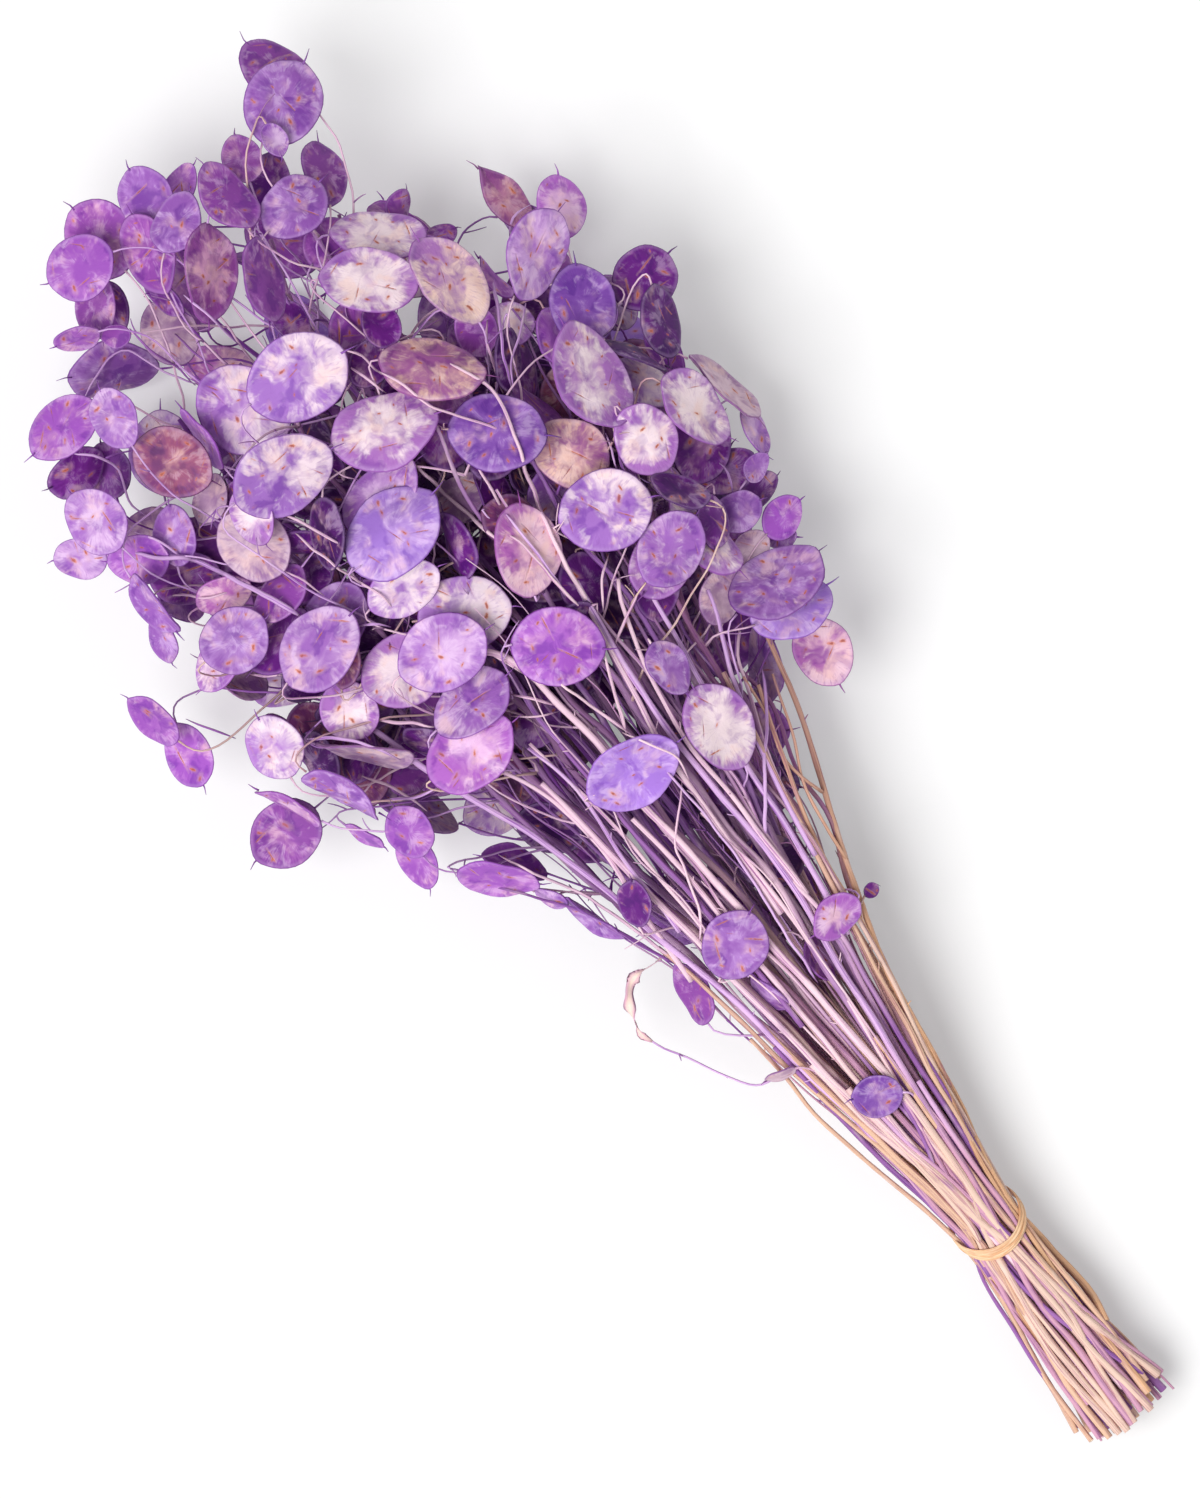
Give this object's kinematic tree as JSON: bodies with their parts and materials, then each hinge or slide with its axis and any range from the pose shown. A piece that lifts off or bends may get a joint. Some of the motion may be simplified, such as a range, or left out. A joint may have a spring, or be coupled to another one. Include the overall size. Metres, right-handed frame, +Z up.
{
  "type": "bunch of dried honesty",
  "caption": "Bunch of dried honesty: cut stems gathered by a straw tie, branching into a wide head of flat, oval, papery seed pods. It lies on a surface.",
  "frame": {"origin": "middle of the bunch's bounding box, on the surface that the bunch lies on", "axes": "+Y along the bunch from the cut ends to the head, +X across it to the right when the head points away, +Z up"},
  "size_m": [0.279, 0.6394, 0.1317],
  "materials": {
    "dyed_plant": "dyed, papery and matte, with cream bleached patches and tan stems",
    "straw": "fibrous straw, satin"
  },
  "bodies": {
    "root": {"honesty_stem_01": "dyed_plant", "honesty_stem_02": "dyed_plant", "honesty_stem_03": "dyed_plant", "honesty_stem_04": "dyed_plant", "honesty_stem_05": "dyed_plant", "honesty_stem_06": "dyed_plant", "honesty_stem_07": "dyed_plant", "honesty_stem_08": "dyed_plant", "honesty_stem_09": "dyed_plant", "honesty_stem_10": "dyed_plant", "honesty_stem_11": "dyed_plant", "honesty_stem_12": "dyed_plant", "honesty_stem_13": "dyed_plant", "honesty_stem_14": "dyed_plant", "honesty_stem_15": "dyed_plant", "honesty_stem_16": "dyed_plant", "honesty_stem_17": "dyed_plant", "honesty_stem_18": "dyed_plant", "honesty_stem_19": "dyed_plant", "honesty_stem_20": "dyed_plant", "honesty_stem_21": "dyed_plant", "honesty_stem_22": "dyed_plant", "honesty_stem_23": "dyed_plant", "honesty_stem_24": "dyed_plant", "honesty_stem_25": "dyed_plant", "honesty_stem_26": "dyed_plant", "honesty_stem_27": "dyed_plant", "honesty_stem_28": "dyed_plant", "honesty_stem_29": "dyed_plant", "honesty_stem_30": "dyed_plant", "honesty_stem_31": "dyed_plant", "honesty_stem_32": "dyed_plant", "honesty_stem_33": "dyed_plant", "straw_tie": "straw"}
  },
  "joints": []
}
